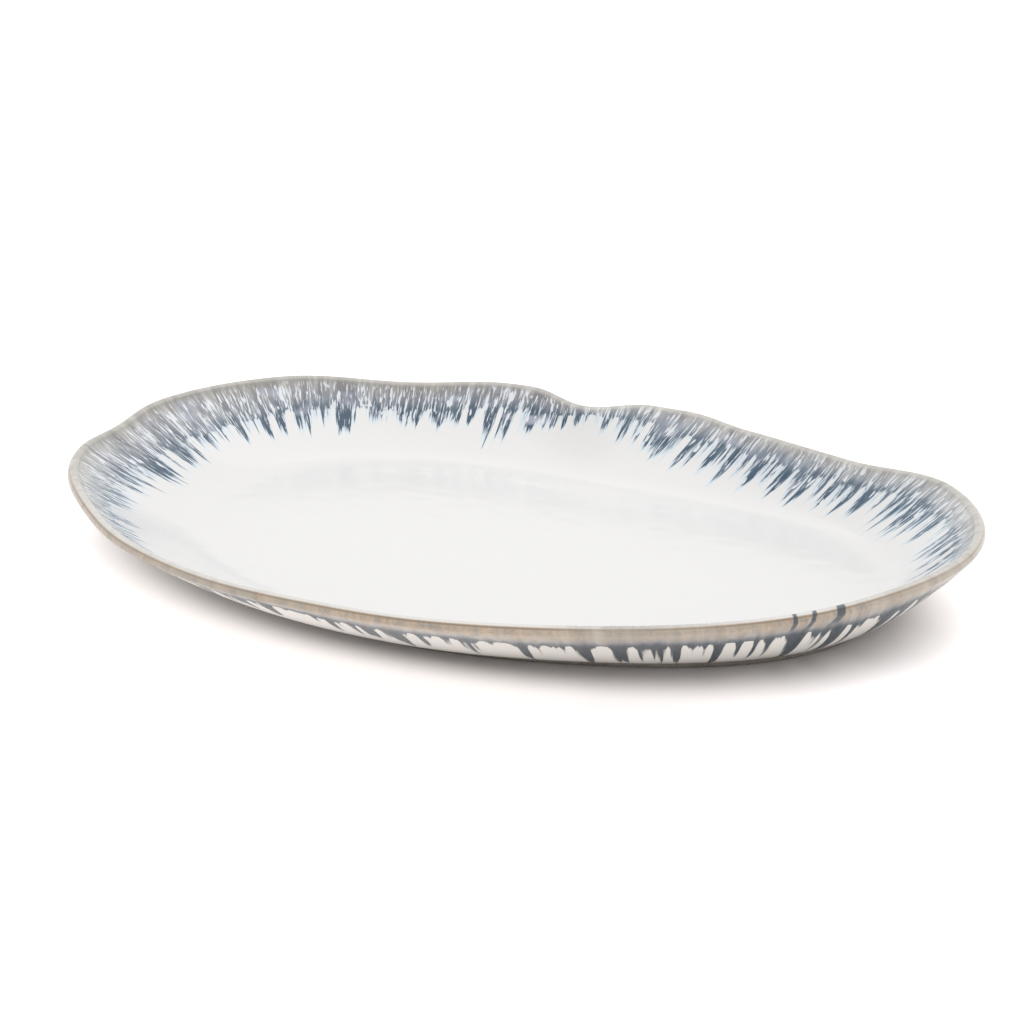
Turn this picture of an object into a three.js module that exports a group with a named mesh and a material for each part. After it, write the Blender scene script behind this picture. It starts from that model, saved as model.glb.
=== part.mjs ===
// A hand-formed oval serving platter in glazed china.
//
// A pressed clay body stands on an applied foot ring and carries six fired coats of glaze.
// The rim outline is a full oval with one broad swelling, pinched in at several places.
// Every surface is a set of closed rings that share one set of angles, so a coat and the
// clay under it meet on exactly the same facets.

import * as THREE from 'three';

// ---- Sizes, in millimetres and degrees. +Z is up and +X runs along the platter. ----

const platterLength = 404;     // rim outline before it is pinched, end to end
const platterWidth = 288;      // rim outline before it is pinched, side to side
const platterHeight = 38;      // table to the crest of the lip

const outlineFullness = 2.2;   // 2 is a plain ellipse, and more fills out its shoulders
const swellCount = 3;          // broad swellings round the outline
const swellAmount = 0.042;     // how far they swell, as a share of the radius
const swellAngle = 25;         // where one of the swellings points

// Where the soft rim was pinched in: the middle, how far in, and the half width.
const pinches = [
  { angle: 46, depth: 9, spread: 18 },
  { angle: 62, depth: 6, spread: 16 },
  { angle: 98, depth: 7.5, spread: 13 },
  { angle: 132, depth: 5.5, spread: 18 },
  { angle: 180, depth: 3, spread: 11 },
  { angle: 213, depth: 3, spread: 19 },
  { angle: 269, depth: 9.5, spread: 20 },
  { angle: 306, depth: 3, spread: 15 },
  { angle: 338, depth: 8, spread: 20 },
  { angle: 350, depth: 6, spread: 14 },
];
const pinchDrop = 0.4;         // how far the lip sinks for each millimetre it is pinched in
const pinchFade = 1.5;         // higher values keep the pinches closer to the lip

const wallRunEnds = 48;        // from the foot ring out to the rim, at the two ends
const wallRunSides = 50;       // from the foot ring out to the rim, at the two long sides
const footShiftX = 10;         // the foot sits a little off the middle of the rim
const footShiftY = 7;

const wallFlare = 0.53;        // share of the wall's rise that follows the curve below
const wallPower = 1.85;        // how late that curve turns up

const lipWidth = 4.8;          // across the lip, from its outer to its inner edge
const lipOuterDrop = 3;        // crest down to where the outer wall starts
const lipInnerDrop = 1.6;      // crest down to where the inner wall starts

const footHeight = 2.8;        // table to the underside of the wall at the foot
const footWidth = 7;           // across the foot ring, where it joins the clay body
const footFlat = 4;            // across the flat that stands on the table
const footChamfer = 0.8;       // height of the chamfer at both edges of that flat
const recessHeight = 2.5;      // table to the glazed base inside the foot ring

const floorHeight = 8;         // table to the inside floor at its edge
const floorDish = 0.8;         // how much lower the middle of the floor is
const floorSpread = 2;         // how far the floor's edge lies outside the foot ring

const glazeThickness = 0.7;

const rimBandStart = 0.45;     // up the inner wall, where the reactive band ends
const edgeBandEnd = 0.9;       // up the outer wall, where the edge coat ends
const outerBandEnd = 0.52;     // up the outer wall, where the run-down band ends

const sides = 72;              // facets round the platter

// Where the rings lie, as shares of each stretch, in the order that the surface runs.
const floorSteps = [0, 0.4, 0.75, 1];
const wellWallSteps = [0.22, rimBandStart];
const rimWallSteps = [0.7, 0.88, 1];
const lipSteps = [0.25, 0.5, 0.75];
const edgeWallSteps = [1, edgeBandEnd];
const outerBandSteps = [0.72, outerBandEnd];
const lowWallSteps = [0.25, 0];
const baseSteps = [0.5, 0];

// ---- Outlines ----

const angles = Array.from({ length: sides }, (_, i) => (2 * Math.PI * i) / sides);
const swellStart = THREE.MathUtils.degToRad(swellAngle);

/** A full oval with the platter's swelling, as a point at one angle. */
function ovalPoint(angle, halfLength, halfWidth) {
  const along = (Math.abs(Math.cos(angle)) / halfLength) ** outlineFullness;
  const across = (Math.abs(Math.sin(angle)) / halfWidth) ** outlineFullness;
  const oval = (along + across) ** (-1 / outlineFullness);
  const radius = oval * (1 + swellAmount * Math.cos(swellCount * (angle - swellStart)));
  return new THREE.Vector2(radius * Math.cos(angle), radius * Math.sin(angle));
}

/** The rim outline before it is pinched. */
function rimPoint(angle) {
  return ovalPoint(angle, platterLength / 2, platterWidth / 2);
}

/** The outward normal of the rim outline, square to its chord over a small step. */
function rimNormal(angle) {
  const step = 0.01;
  const chord = rimPoint(angle + step).sub(rimPoint(angle - step)).normalize();
  return new THREE.Vector2(chord.y, -chord.x);
}

/** How far the rim is pinched in at one angle. */
function pinchDepth(angle) {
  let depth = 0;
  for (const pinch of pinches) {
    const turn = THREE.MathUtils.radToDeg(angle) - pinch.angle;
    const away = Math.abs(THREE.MathUtils.euclideanModulo(turn + 180, 360) - 180);
    if (away < pinch.spread) {
      depth += pinch.depth * 0.5 * (1 + Math.cos((Math.PI * away) / pinch.spread));
    }
  }
  return depth;
}

/** The foot's outline, or one that lies a set distance outside it. */
function footPoint(angle, outside = 0) {
  const halfLength = platterLength / 2 - wallRunEnds + outside;
  const halfWidth = platterWidth / 2 - wallRunSides + outside;
  return ovalPoint(angle, halfLength, halfWidth).add(new THREE.Vector2(footShiftX, footShiftY));
}

/** The middle of the pinched rim's box, which becomes the middle of the frame. */
function rimCentre() {
  const box = new THREE.Box2();
  for (const angle of angles) {
    box.expandByPoint(rimPoint(angle).addScaledVector(rimNormal(angle), -pinchDepth(angle)));
  }
  return box.getCenter(new THREE.Vector2());
}

const frameCentre = rimCentre();

// ---- Rings of the finished, glazed surface ----

/** A point given by its plan position and height, moved into the platter's own frame. */
function framePoint(plan, height) {
  return new THREE.Vector3(plan.x - frameCentre.x, plan.y - frameCentre.y, height);
}

/** A ring on a wall that runs from a low outline up to the pinched rim. */
function wallRing({ rise, inset, outside, lowHeight, highDrop }) {
  const climb = (1 - wallFlare) * rise + wallFlare * rise ** wallPower;
  return angles.map((angle) => {
    const pinch = pinchDepth(angle) * rise ** pinchFade;
    const high = rimPoint(angle).addScaledVector(rimNormal(angle), -pinch - inset);
    const plan = footPoint(angle, outside).lerp(high, rise);
    const topHeight = platterHeight - highDrop - pinchDrop * pinch;
    return framePoint(plan, lowHeight + (topHeight - lowHeight) * climb);
  });
}

/** A ring on the inner wall: rise is 0 at the floor's edge and 1 at the lip. */
function innerRing(rise) {
  return wallRing({
    rise,
    inset: lipWidth,
    outside: floorSpread,
    lowHeight: floorHeight,
    highDrop: lipInnerDrop,
  });
}

/** A ring on the outer wall: rise is 0 at the foot and 1 at the lip. */
function outerRing(rise) {
  return wallRing({
    rise,
    inset: 0,
    outside: 0,
    lowHeight: footHeight,
    highDrop: lipOuterDrop,
  });
}

/** A ring on the lip: turn is 0 at its inner edge, 1 at its outer edge. */
function lipRing(turn) {
  const swing = Math.PI * turn;
  const inset = (lipWidth / 2) * (1 + Math.cos(swing));
  const sideDrop = turn < 0.5 ? lipInnerDrop : lipOuterDrop;
  return wallRing({
    rise: 1,
    inset,
    outside: 0,
    lowHeight: 0,
    highDrop: sideDrop * (1 - Math.sin(swing)),
  });
}

/** A ring across the floor: share is 0 in the middle and 1 at its edge. */
function floorRing(share) {
  const height = floorHeight - floorDish * (1 - share * share);
  return shrunkRing(share, floorSpread, height);
}

/** A ring of the foot's outline at a set distance outside it, shrunk to a share of its size. */
function shrunkRing(share, outside, height) {
  const middle = new THREE.Vector2(footShiftX, footShiftY);
  return angles.map((angle) => {
    const plan = footPoint(angle, outside).sub(middle).multiplyScalar(share).add(middle);
    return framePoint(plan, height);
  });
}

/** The rings of the whole glazed surface, from the middle of the floor round to the base. */
function surfaceRings() {
  const rings = [];
  const marks = {};
  const stretch = (steps, ringAt, endName) => {
    rings.push(...steps.map(ringAt));
    marks[endName] = rings.length - 1;
  };
  const baseRing = (share) => shrunkRing(share, -footWidth, recessHeight);
  stretch(floorSteps, floorRing, 'floorEdge');
  stretch(wellWallSteps, innerRing, 'rimBand');
  stretch(rimWallSteps, innerRing, 'innerLip');
  stretch(lipSteps, lipRing, 'lip');
  stretch(edgeWallSteps, outerRing, 'edgeBand');
  stretch(outerBandSteps, outerRing, 'outerBand');
  stretch(lowWallSteps, outerRing, 'footOuter');
  stretch([1], baseRing, 'footInner');
  stretch(baseSteps, baseRing, 'baseMiddle');
  return { rings, marks };
}

// ---- The clay under the glaze ----

/** The outward normal of the surface at one vertex of one ring. */
function surfaceNormal(rings, row, column) {
  const before = rings[Math.max(row - 1, 0)][column];
  const after = rings[Math.min(row + 1, rings.length - 1)][column];
  const left = rings[row][(column + sides - 1) % sides];
  const right = rings[row][(column + 1) % sides];
  const along = after.clone().sub(before);
  const round = right.clone().sub(left);
  return along.cross(round).normalize();
}

/** One ring moved in by the thickness of the glaze. A ring shrunk to a point moves in Z. */
function clayRing(rings, row) {
  if (row === 0 || row === rings.length - 1) {
    const inward = row === 0 ? -glazeThickness : glazeThickness;
    return rings[row].map((point) => point.clone().add(new THREE.Vector3(0, 0, inward)));
  }
  return rings[row].map((point, column) => {
    return point.clone().addScaledVector(surfaceNormal(rings, row, column), -glazeThickness);
  });
}

// ---- Meshes from rings ----

/** The triangles between two rings. Their diagonals stay the same when they face the other way. */
function band(first, second, facesOther = false) {
  const triangles = [];
  for (let i = 0; i < sides; i += 1) {
    const next = (i + 1) % sides;
    const pair = [
      [first[i], second[i], first[next]],
      [second[i], second[next], first[next]],
    ];
    for (const [a, b, c] of pair) {
      triangles.push(facesOther ? [a, c, b] : [a, b, c]);
    }
  }
  return triangles.filter(([a, b, c]) => !a.equals(b) && !b.equals(c) && !c.equals(a));
}

/** The triangles over a run of rings. */
function skin(rings, facesOther = false) {
  return rings.slice(1).flatMap((ring, row) => band(rings[row], ring, facesOther));
}

/** A named mesh from a list of triangles. */
function meshFrom(name, triangles, finish) {
  const positions = triangles.flat().flatMap((point) => point.toArray());
  const geometry = new THREE.BufferGeometry();
  geometry.setAttribute('position', new THREE.Float32BufferAttribute(positions, 3));
  geometry.computeVertexNormals();
  const mesh = new THREE.Mesh(geometry, new THREE.MeshStandardMaterial(finish));
  mesh.name = name;
  return mesh;
}

// ---- Finishes ----

const stoneware = { color: 0xcdbfa6, roughness: 0.85, metalness: 0 };
const whiteGlaze = { color: 0xf2f1ee, roughness: 0.15, metalness: 0 };
const reactiveGlaze = { color: 0x70808f, roughness: 0.2, metalness: 0 };
const edgeGlaze = { color: 0xbfa98c, roughness: 0.35, metalness: 0 };

// ---- Pieces ----

const { rings: glazed, marks } = surfaceRings();
const clay = glazed.map((_, row) => clayRing(glazed, row));

/** The pressed clay body: floor, wall and lip in one piece, as it is under the glaze. */
function clayBody() {
  return meshFrom('clay_body', skin(clay), stoneware);
}

/** One coat of glaze between two rows of the surface, closed at both edges. */
function glazeCoat(name, from, to, finish) {
  const triangles = skin(glazed.slice(from, to + 1));
  triangles.push(...skin(clay.slice(from, to + 1), true));
  if (from > 0) {
    triangles.push(...band(clay[from], glazed[from]));
  }
  if (to < glazed.length - 1) {
    triangles.push(...band(clay[to], glazed[to], true));
  }
  return meshFrom(name, triangles, finish);
}

/** The ring that the platter stands on, bare at the flat and joined to the clay body above. */
function footRing() {
  const outer = marks.footOuter;
  const inner = marks.footInner;
  const slope = (footWidth - footFlat) / 2;
  const walls = [
    clay[outer],
    glazed[outer],
    shrunkRing(1, -slope / 2, footChamfer),
    shrunkRing(1, -slope, 0),
    shrunkRing(1, -slope - footFlat, 0),
    shrunkRing(1, -footWidth + slope / 2, footChamfer),
    glazed[inner],
  ];
  const triangles = skin(walls);
  triangles.push(...band(clay[inner], glazed[inner], true));
  triangles.push(...band(clay[outer], clay[inner], true));
  return meshFrom('foot_ring', triangles, stoneware);
}

const platter = new THREE.Group();
platter.add(clayBody());
platter.add(footRing());
platter.add(glazeCoat('well_glaze', 0, marks.rimBand, whiteGlaze));
platter.add(glazeCoat('rim_glaze', marks.rimBand, marks.innerLip, reactiveGlaze));
platter.add(glazeCoat('edge_glaze', marks.innerLip, marks.edgeBand, edgeGlaze));
platter.add(glazeCoat('outer_rim_glaze', marks.edgeBand, marks.outerBand, reactiveGlaze));
platter.add(glazeCoat('wall_glaze', marks.outerBand, marks.footOuter, whiteGlaze));
platter.add(glazeCoat('base_glaze', marks.footInner, glazed.length - 1, whiteGlaze));

export default platter;
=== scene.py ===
"""The looks of a hand-formed oval serving platter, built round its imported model.

One glazed surface is shaped from a ball of rings and columns, from the middle of the
floor over the lip to the middle of the base. The coats of glaze are cut from it and given
their thickness, and the clay body is the same surface moved in by one coat.
"""

import logging
import math
from dataclasses import dataclass, field
from enum import Enum

import bpy
import numpy as np
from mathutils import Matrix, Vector, kdtree, noise


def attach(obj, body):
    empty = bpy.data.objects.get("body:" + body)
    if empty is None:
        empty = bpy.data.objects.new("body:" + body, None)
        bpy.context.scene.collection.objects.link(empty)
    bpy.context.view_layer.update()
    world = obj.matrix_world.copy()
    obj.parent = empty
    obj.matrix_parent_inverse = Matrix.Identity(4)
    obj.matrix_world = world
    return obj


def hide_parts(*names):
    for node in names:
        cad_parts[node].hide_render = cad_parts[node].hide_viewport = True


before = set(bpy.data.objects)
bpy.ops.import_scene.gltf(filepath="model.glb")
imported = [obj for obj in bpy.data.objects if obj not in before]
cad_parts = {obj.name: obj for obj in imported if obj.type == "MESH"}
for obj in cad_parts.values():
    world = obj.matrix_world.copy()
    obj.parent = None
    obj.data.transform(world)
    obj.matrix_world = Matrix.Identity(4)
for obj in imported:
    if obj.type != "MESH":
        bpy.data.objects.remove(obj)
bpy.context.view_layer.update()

MM = 0.001
RUN_ATTRIBUTE = "glaze_run"
FLOW_ATTRIBUTE = "glaze_flow"
ROW_ATTRIBUTE = "surface_row"
NORMAL_ATTRIBUTE = "surface_normal"

logging.basicConfig(level=logging.INFO, format="%(message)s")
log = logging.getLogger("platter")


# ---------------------------------------------------------------- shape of the platter


@dataclass(frozen=True)
class Pinch:
    """A place where the soft rim was pinched in: its middle, depth and half width."""

    angle: float
    depth: float
    spread: float


@dataclass(frozen=True)
class PlatterShape:
    """The platter's sizes in millimetres and degrees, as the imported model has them."""

    length: float = 404.0
    width: float = 288.0
    height: float = 38.0
    fullness: float = 2.2
    swell_count: int = 3
    swell_amount: float = 0.042
    swell_angle: float = 25.0
    pinches: tuple[Pinch, ...] = (
        Pinch(46.0, 9.0, 18.0),
        Pinch(62.0, 6.0, 16.0),
        Pinch(98.0, 7.5, 13.0),
        Pinch(132.0, 5.5, 18.0),
        Pinch(180.0, 3.0, 11.0),
        Pinch(213.0, 3.0, 19.0),
        Pinch(269.0, 9.5, 20.0),
        Pinch(306.0, 3.0, 15.0),
        Pinch(338.0, 8.0, 20.0),
        Pinch(350.0, 6.0, 14.0),
    )
    pinch_drop: float = 0.4
    pinch_fade: float = 1.5
    wall_run_ends: float = 48.0
    wall_run_sides: float = 50.0
    foot_shift: tuple[float, float] = (10.0, 7.0)
    wall_flare: float = 0.53
    wall_power: float = 1.85
    lip_width: float = 4.8
    lip_outer_drop: float = 3.0
    lip_inner_drop: float = 1.6
    foot_height: float = 2.8
    foot_width: float = 7.0
    foot_flat: float = 4.0
    foot_chamfer: float = 0.8
    recess_height: float = 2.5
    floor_height: float = 8.0
    floor_dish: float = 0.8
    floor_spread: float = 2.0
    glaze: float = 0.7

    def oval(self, angle: np.ndarray, half_length: float, half_width: float) -> np.ndarray:
        """A full oval with the platter's broad swellings.

        Args:
            angle: Angles round the oval, in radians.
            half_length: Half of its length along X.
            half_width: Half of its width along Y.

        Returns:
            One point in plan for each angle.
        """
        along = (np.abs(np.cos(angle)) / half_length) ** self.fullness
        across = (np.abs(np.sin(angle)) / half_width) ** self.fullness
        radius = (along + across) ** (-1 / self.fullness)
        swelling = np.cos(self.swell_count * (angle - math.radians(self.swell_angle)))
        radius = radius * (1 + self.swell_amount * swelling)
        return np.stack([radius * np.cos(angle), radius * np.sin(angle)], axis=-1)

    def rim(self, angle: np.ndarray) -> np.ndarray:
        """The rim outline before it is pinched."""
        return self.oval(angle, self.length / 2, self.width / 2)

    def rim_normal(self, angle: np.ndarray) -> np.ndarray:
        """Which way the rim outline faces.

        Args:
            angle: Angles round the oval, in radians.

        Returns:
            The outward normal at each angle, in plan.
        """
        step = 0.01
        chord = self.rim(angle + step) - self.rim(angle - step)
        chord /= np.linalg.norm(chord, axis=-1, keepdims=True)
        return np.stack([chord[:, 1], -chord[:, 0]], axis=-1)

    def pinch_depth(self, angle: np.ndarray) -> np.ndarray:
        """How far the rim is pinched in.

        Args:
            angle: Angles round the oval, in radians.

        Returns:
            The depth at each angle, in millimetres.
        """
        depth = np.zeros_like(angle)
        for pinch in self.pinches:
            away = np.abs((np.degrees(angle) - pinch.angle + 180) % 360 - 180)
            bell = 0.5 * (1 + np.cos(np.pi * np.minimum(away / pinch.spread, 1.0)))
            depth += pinch.depth * bell
        return depth

    def foot(self, angle: np.ndarray, outside: float = 0.0) -> np.ndarray:
        """The foot's outline, or one that lies a set distance outside it.

        Args:
            angle: Angles round the oval, in radians.
            outside: The distance outside it, in millimetres.

        Returns:
            One point in plan for each angle.
        """
        half_length = self.length / 2 - self.wall_run_ends + outside
        half_width = self.width / 2 - self.wall_run_sides + outside
        return self.oval(angle, half_length, half_width) + np.array(self.foot_shift)

    def centre(self, angle: np.ndarray) -> np.ndarray:
        """The middle of the pinched rim's box, which is the middle of the frame."""
        pinched = self.rim(angle) - self.rim_normal(angle) * self.pinch_depth(angle)[:, None]
        return (pinched.min(axis=0) + pinched.max(axis=0)) / 2


@dataclass(frozen=True)
class RoundRim:
    """A value that changes round the rim, given at a few angles in degrees."""

    stops: tuple[tuple[float, float], ...]

    def at(self, degrees: np.ndarray) -> np.ndarray:
        """The value at each angle, in between the nearest stops."""
        angles, values = zip(*self.stops)
        return np.interp(degrees, angles, values, period=360)


@dataclass(frozen=True)
class GlazeFlow:
    """How the reactive glaze ran in the kiln, in millimetres from the crest of the lip.

    The band is whole as far as its solid reach, and from there to its tips only the
    strongest runs go on. The runs drift round the rim by the lean for each millimetre
    down, as far as the lean's reach.
    """

    inner_solid: RoundRim = RoundRim(
        ((12, 14), (62, 10), (77, 12), (97, 4), (106, 13), (165, 25))
        + ((200, 18), (240, 2), (325, 1), (350, 10))
    )
    inner_tips: RoundRim = RoundRim(
        ((12, 44), (30, 44), (48, 32), (62, 31), (77, 38), (97, 13), (107, 29), (113, 50), (119, 29))
        + ((135, 38), (150, 44), (200, 42), (240, 16), (325, 12), (350, 42))
    )
    outer_solid: RoundRim = RoundRim(
        ((30, 13), (240, 8), (262, 9), (275, 12), (300, 17), (325, 16), (337, 12), (350, 13))
    )
    outer_tips: RoundRim = RoundRim(
        ((30, 36), (200, 32), (240, 26), (262, 30), (280, 38), (296, 62), (345, 64))
    )
    thickness: RoundRim = RoundRim(
        ((10, 0.1), (35, 0.3), (60, 0.4), (90, 0.5), (105, 0.85), (135, 0.85), (165, 0.75), (190, 0.3))
        + ((215, 0.25), (255, 0.15), (280, 0.45), (301, 0.45), (313, 0.95), (330, 0.8))
    )
    tan: RoundRim = RoundRim(
        ((0, 0.3), (20, 0.2), (90, 0.35), (160, 0.3), (190, 0.1), (215, 0.6), (250, 0.55), (280, 0.9))
        + ((303, 0.85), (313, 0.3), (325, 0.6), (335, 0.9))
    )
    lean: RoundRim = RoundRim(
        ((12, 0.25), (30, 0.35), (62, 0.45), (80, 0.42), (95, 0), (160, 0))
        + ((190, -0.15), (230, 0), (290, 0.02), (318, 0.16), (345, 0.16))
    )
    lean_reach: float = 60.0


class Part(Enum):
    """The stretches of the glazed surface, from the middle of the floor to the base."""

    FLOOR = "floor"
    INNER_WALL = "inner wall"
    LIP = "lip"
    OUTER_WALL = "outer wall"
    FOOT_SEAT = "foot seat"
    BASE = "base"


@dataclass
class GlazedSurface:
    """The whole finished surface as rows of rings and columns round the platter.

    The pressed marks have their depth, length and width in millimetres. The fine ones are
    that many times smaller than the broad ones, and have that part of their depth.
    """

    shape: PlatterShape
    glaze_flow: GlazeFlow
    columns: int = 360
    rows_in: dict[Part, int] = field(
        default_factory=lambda: {
            Part.FLOOR: 56,
            Part.INNER_WALL: 44,
            Part.LIP: 14,
            Part.OUTER_WALL: 40,
            Part.FOOT_SEAT: 4,
            Part.BASE: 20,
        }
    )
    fillet_rows: int = 9
    press_depth: float = 0.12
    press_length: float = 12.0
    press_width: float = 7.0
    fine_press: float = 2.3
    fine_press_part: float = 0.5
    outline_points: int = 20000

    def __post_init__(self) -> None:
        """Works out the angles, the rows where each stretch starts, and every point."""
        self.angles = np.arange(self.columns) * (2 * np.pi / self.columns)
        self.start: dict[Part, int] = {}
        row = 0
        for part, count in self.rows_in.items():
            self.start[part] = row
            row += count
        self.last_row = row
        self.crest_row = self.start[Part.LIP] + self.rows_in[Part.LIP] // 2
        self.points = self._build()
        self.run, self.flow = self._glaze_run()

    def _wall(self, rise: float, inset: float, outside: float, low: float, drop: float) -> np.ndarray:
        """One ring on a wall that runs from a low outline up to the pinched rim.

        Args:
            rise: 0 at the low outline and 1 at the rim.
            inset: How far inside the rim the wall's top lies.
            outside: How far outside the foot's outline the wall starts.
            low: Height of the low outline.
            drop: How far below the crest the wall's top lies.

        Returns:
            The ring's points, in millimetres.
        """
        shape = self.shape
        climb = (1 - shape.wall_flare) * rise + shape.wall_flare * rise**shape.wall_power
        pinch = shape.pinch_depth(self.angles) * rise**shape.pinch_fade
        moved_in = (pinch + inset)[:, None] * shape.rim_normal(self.angles)
        high = shape.rim(self.angles) - moved_in
        low_plan = shape.foot(self.angles, outside)
        plan = low_plan + (high - low_plan) * rise
        top = shape.height - drop - shape.pinch_drop * pinch
        return self._ring(plan, low + (top - low) * climb)

    def _ring(self, plan: np.ndarray, height: np.ndarray | float) -> np.ndarray:
        """Points from a plan outline and a height, moved to the middle of the frame.

        Args:
            plan: The outline in plan, in millimetres.
            height: One height for the whole ring, or one for each point.

        Returns:
            One row of X, Y and Z for each point.
        """
        centred = plan - self.shape.centre(self.angles)
        heights = np.broadcast_to(height, self.columns)
        return np.column_stack([centred, heights])

    def shrunk(self, share: float, outside: float, height: float) -> np.ndarray:
        """A ring of the foot's outline, shrunk to a share of its size.

        Args:
            share: 1 for the whole outline and 0 for its middle.
            outside: How far outside the foot's outline the whole ring lies.
            height: Its height above the table.

        Returns:
            The ring's points, in millimetres.
        """
        middle = np.array(self.shape.foot_shift)
        plan = middle + (self.shape.foot(self.angles, outside) - middle) * share
        return self._ring(plan, height)

    def _part_ring(self, part: Part, step: float) -> np.ndarray:
        """One ring of a stretch of the surface.

        Args:
            part: The stretch.
            step: 0 where the stretch starts and 1 where it ends.

        Returns:
            The ring's points, in millimetres.
        """
        shape = self.shape
        if part is Part.FLOOR:
            height = shape.floor_height - shape.floor_dish * (1 - step * step)
            return self.shrunk(step, shape.floor_spread, height)
        if part is Part.INNER_WALL:
            return self._wall(
                step, shape.lip_width, shape.floor_spread, shape.floor_height, shape.lip_inner_drop
            )
        if part is Part.LIP:
            swing = math.pi * step
            drop = shape.lip_inner_drop if step < 0.5 else shape.lip_outer_drop
            inset = shape.lip_width / 2 * (1 + math.cos(swing))
            return self._wall(1.0, inset, 0.0, 0.0, drop * (1 - math.sin(swing)))
        if part is Part.OUTER_WALL:
            return self._wall(1 - step, 0.0, 0.0, shape.foot_height, shape.lip_outer_drop)
        foot_inner = -shape.foot_width
        if part is Part.FOOT_SEAT:
            height = shape.foot_height + (shape.recess_height - shape.foot_height) * step
            return self.shrunk(1.0, foot_inner * step, height)
        return self.shrunk(1 - step, foot_inner, shape.recess_height)

    def _build(self) -> np.ndarray:
        """Builds all rings, softens the floor's edge and presses the floor by hand.

        Returns:
            Every point of the surface, by row and column.
        """
        rings = []
        for part, count in self.rows_in.items():
            rings += [self._part_ring(part, step / count) for step in range(count)]
        rings.append(self._part_ring(Part.BASE, 1.0))
        points = np.array(rings)
        edge = self.start[Part.INNER_WALL]
        for _ in range(3 * self.fillet_rows):
            near = slice(edge - self.fillet_rows, edge + self.fillet_rows)
            above = points[edge - self.fillet_rows - 1 : edge + self.fillet_rows - 1]
            below = points[edge - self.fillet_rows + 1 : edge + self.fillet_rows + 1]
            points[near] = (above + 2 * points[near] + below) / 4
        self._press(points)
        return points

    def _press(self, points: np.ndarray) -> None:
        """Leaves the soft marks of the hand in the floor and, fainter, in the inner wall.

        Args:
            points: Every point of the surface, which this changes.
        """
        edge = self.start[Part.INNER_WALL]
        lip = self.start[Part.LIP]
        elsewhere = Vector((5.0, 9.0, 2.0))
        for row in range(lip):
            climb = max(row - edge, 0) / (lip - edge)
            depth = self.press_depth * (1 - climb) ** 2
            for point in points[row]:
                place = Vector((point[0] / self.press_length, point[1] / self.press_width, 0.0))
                broad = noise.noise(place)
                small = noise.noise(place * self.fine_press + elsewhere)
                point[2] += depth * (broad + self.fine_press_part * small)

    def normals(self) -> np.ndarray:
        """Which way the surface faces, from the neighbours of each point.

        Returns:
            The outward normal at each point, by row and column.
        """
        along = np.gradient(self.points, axis=0)
        round_ = np.roll(self.points, -1, axis=1) - np.roll(self.points, 1, axis=1)
        normal = np.cross(along, round_)
        length = np.linalg.norm(normal, axis=-1, keepdims=True)
        normal = normal / np.maximum(length, 1e-9)
        normal[0] = (0.0, 0.0, 1.0)
        normal[-1] = (0.0, 0.0, -1.0)
        return normal

    def _glaze_run(self) -> tuple[np.ndarray, np.ndarray]:
        """Where each point lies in the glaze, for the streaks and runs.

        The glaze runs square to the rim, so a point belongs to the nearest place on it.

        Returns:
            For each point, its place round the rim as a point on a circle as long as the
            rim with its distance over the lip's crest, in millimetres and positive inside;
            and its signed share of the band (1 at the end of the solid glaze, 2 at the
            tips of the runs), the glaze's thickness and how tan the lip is.
        """
        fine = np.linspace(0, 2 * np.pi, self.outline_points + 1)
        path = self.shape.rim(fine)
        steps = np.linalg.norm(np.diff(path, axis=0), axis=1)
        along = np.concatenate([[0], np.cumsum(steps)])
        tree = kdtree.KDTree(self.outline_points)
        for index, (x, y) in enumerate(path[:-1]):
            tree.insert((x, y, 0.0), index)
        tree.balance()
        plan = self.points[..., :2] + self.shape.centre(self.angles)
        nearest = np.array([tree.find((x, y, 0.0))[1] for x, y in plan.reshape(-1, 2)])
        nearest = nearest.reshape(plan.shape[:2])
        gaps = np.linalg.norm(np.diff(self.points, axis=0), axis=-1)
        travelled = np.concatenate([np.zeros((1, self.columns)), np.cumsum(gaps, axis=0)])
        over_lip = travelled[self.crest_row] - travelled
        down = np.abs(over_lip)
        degrees = np.degrees(fine[nearest])
        glaze = self.glaze_flow
        inside = over_lip > 0
        solid = np.where(inside, glaze.inner_solid.at(degrees), glaze.outer_solid.at(degrees))
        tips = np.where(inside, glaze.inner_tips.at(degrees), glaze.outer_tips.at(degrees))
        share = np.where(down < solid, down / solid, 1 + (down - solid) / (tips - solid))
        drift = glaze.lean.at(degrees) * np.minimum(down, glaze.lean_reach)
        turn = (along[nearest] - drift) * (2 * np.pi / along[-1])
        radius = along[-1] / (2 * np.pi)
        run = np.stack([radius * np.cos(turn), radius * np.sin(turn), over_lip], axis=-1)
        signed = np.sign(over_lip) * share
        flow = np.stack([signed, glaze.thickness.at(degrees), glaze.tan.at(degrees)], axis=-1)
        return run, flow

    def on_circle_of_runs(
        self, angle: float, lean: float
    ) -> tuple[tuple[float, float, float], tuple[float, float, float]]:
        """Where a run that crosses the lip lies on the circle that the glaze's runs use.

        Args:
            angle: The angle of the rim where it crosses the crest, in degrees.
            lean: How far it moves round the rim for each millimetre up.

        Returns:
            Its place on the circle, and how far it moves for each millimetre up.
        """
        fine = np.linspace(0, 2 * np.pi, self.outline_points + 1)
        steps = np.linalg.norm(np.diff(self.shape.rim(fine), axis=0), axis=1)
        along = np.concatenate([[0], np.cumsum(steps)])
        turn = np.interp(math.radians(angle), fine, along) * 2 * math.pi / along[-1]
        radius = along[-1] / (2 * math.pi)
        place = (radius * math.cos(turn), radius * math.sin(turn), 0.0)
        return place, (-lean * math.sin(turn), lean * math.cos(turn), 0.0)


# ---------------------------------------------------------------- finishes

Socket = bpy.types.NodeSocket
Tree = bpy.types.NodeTree

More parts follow.
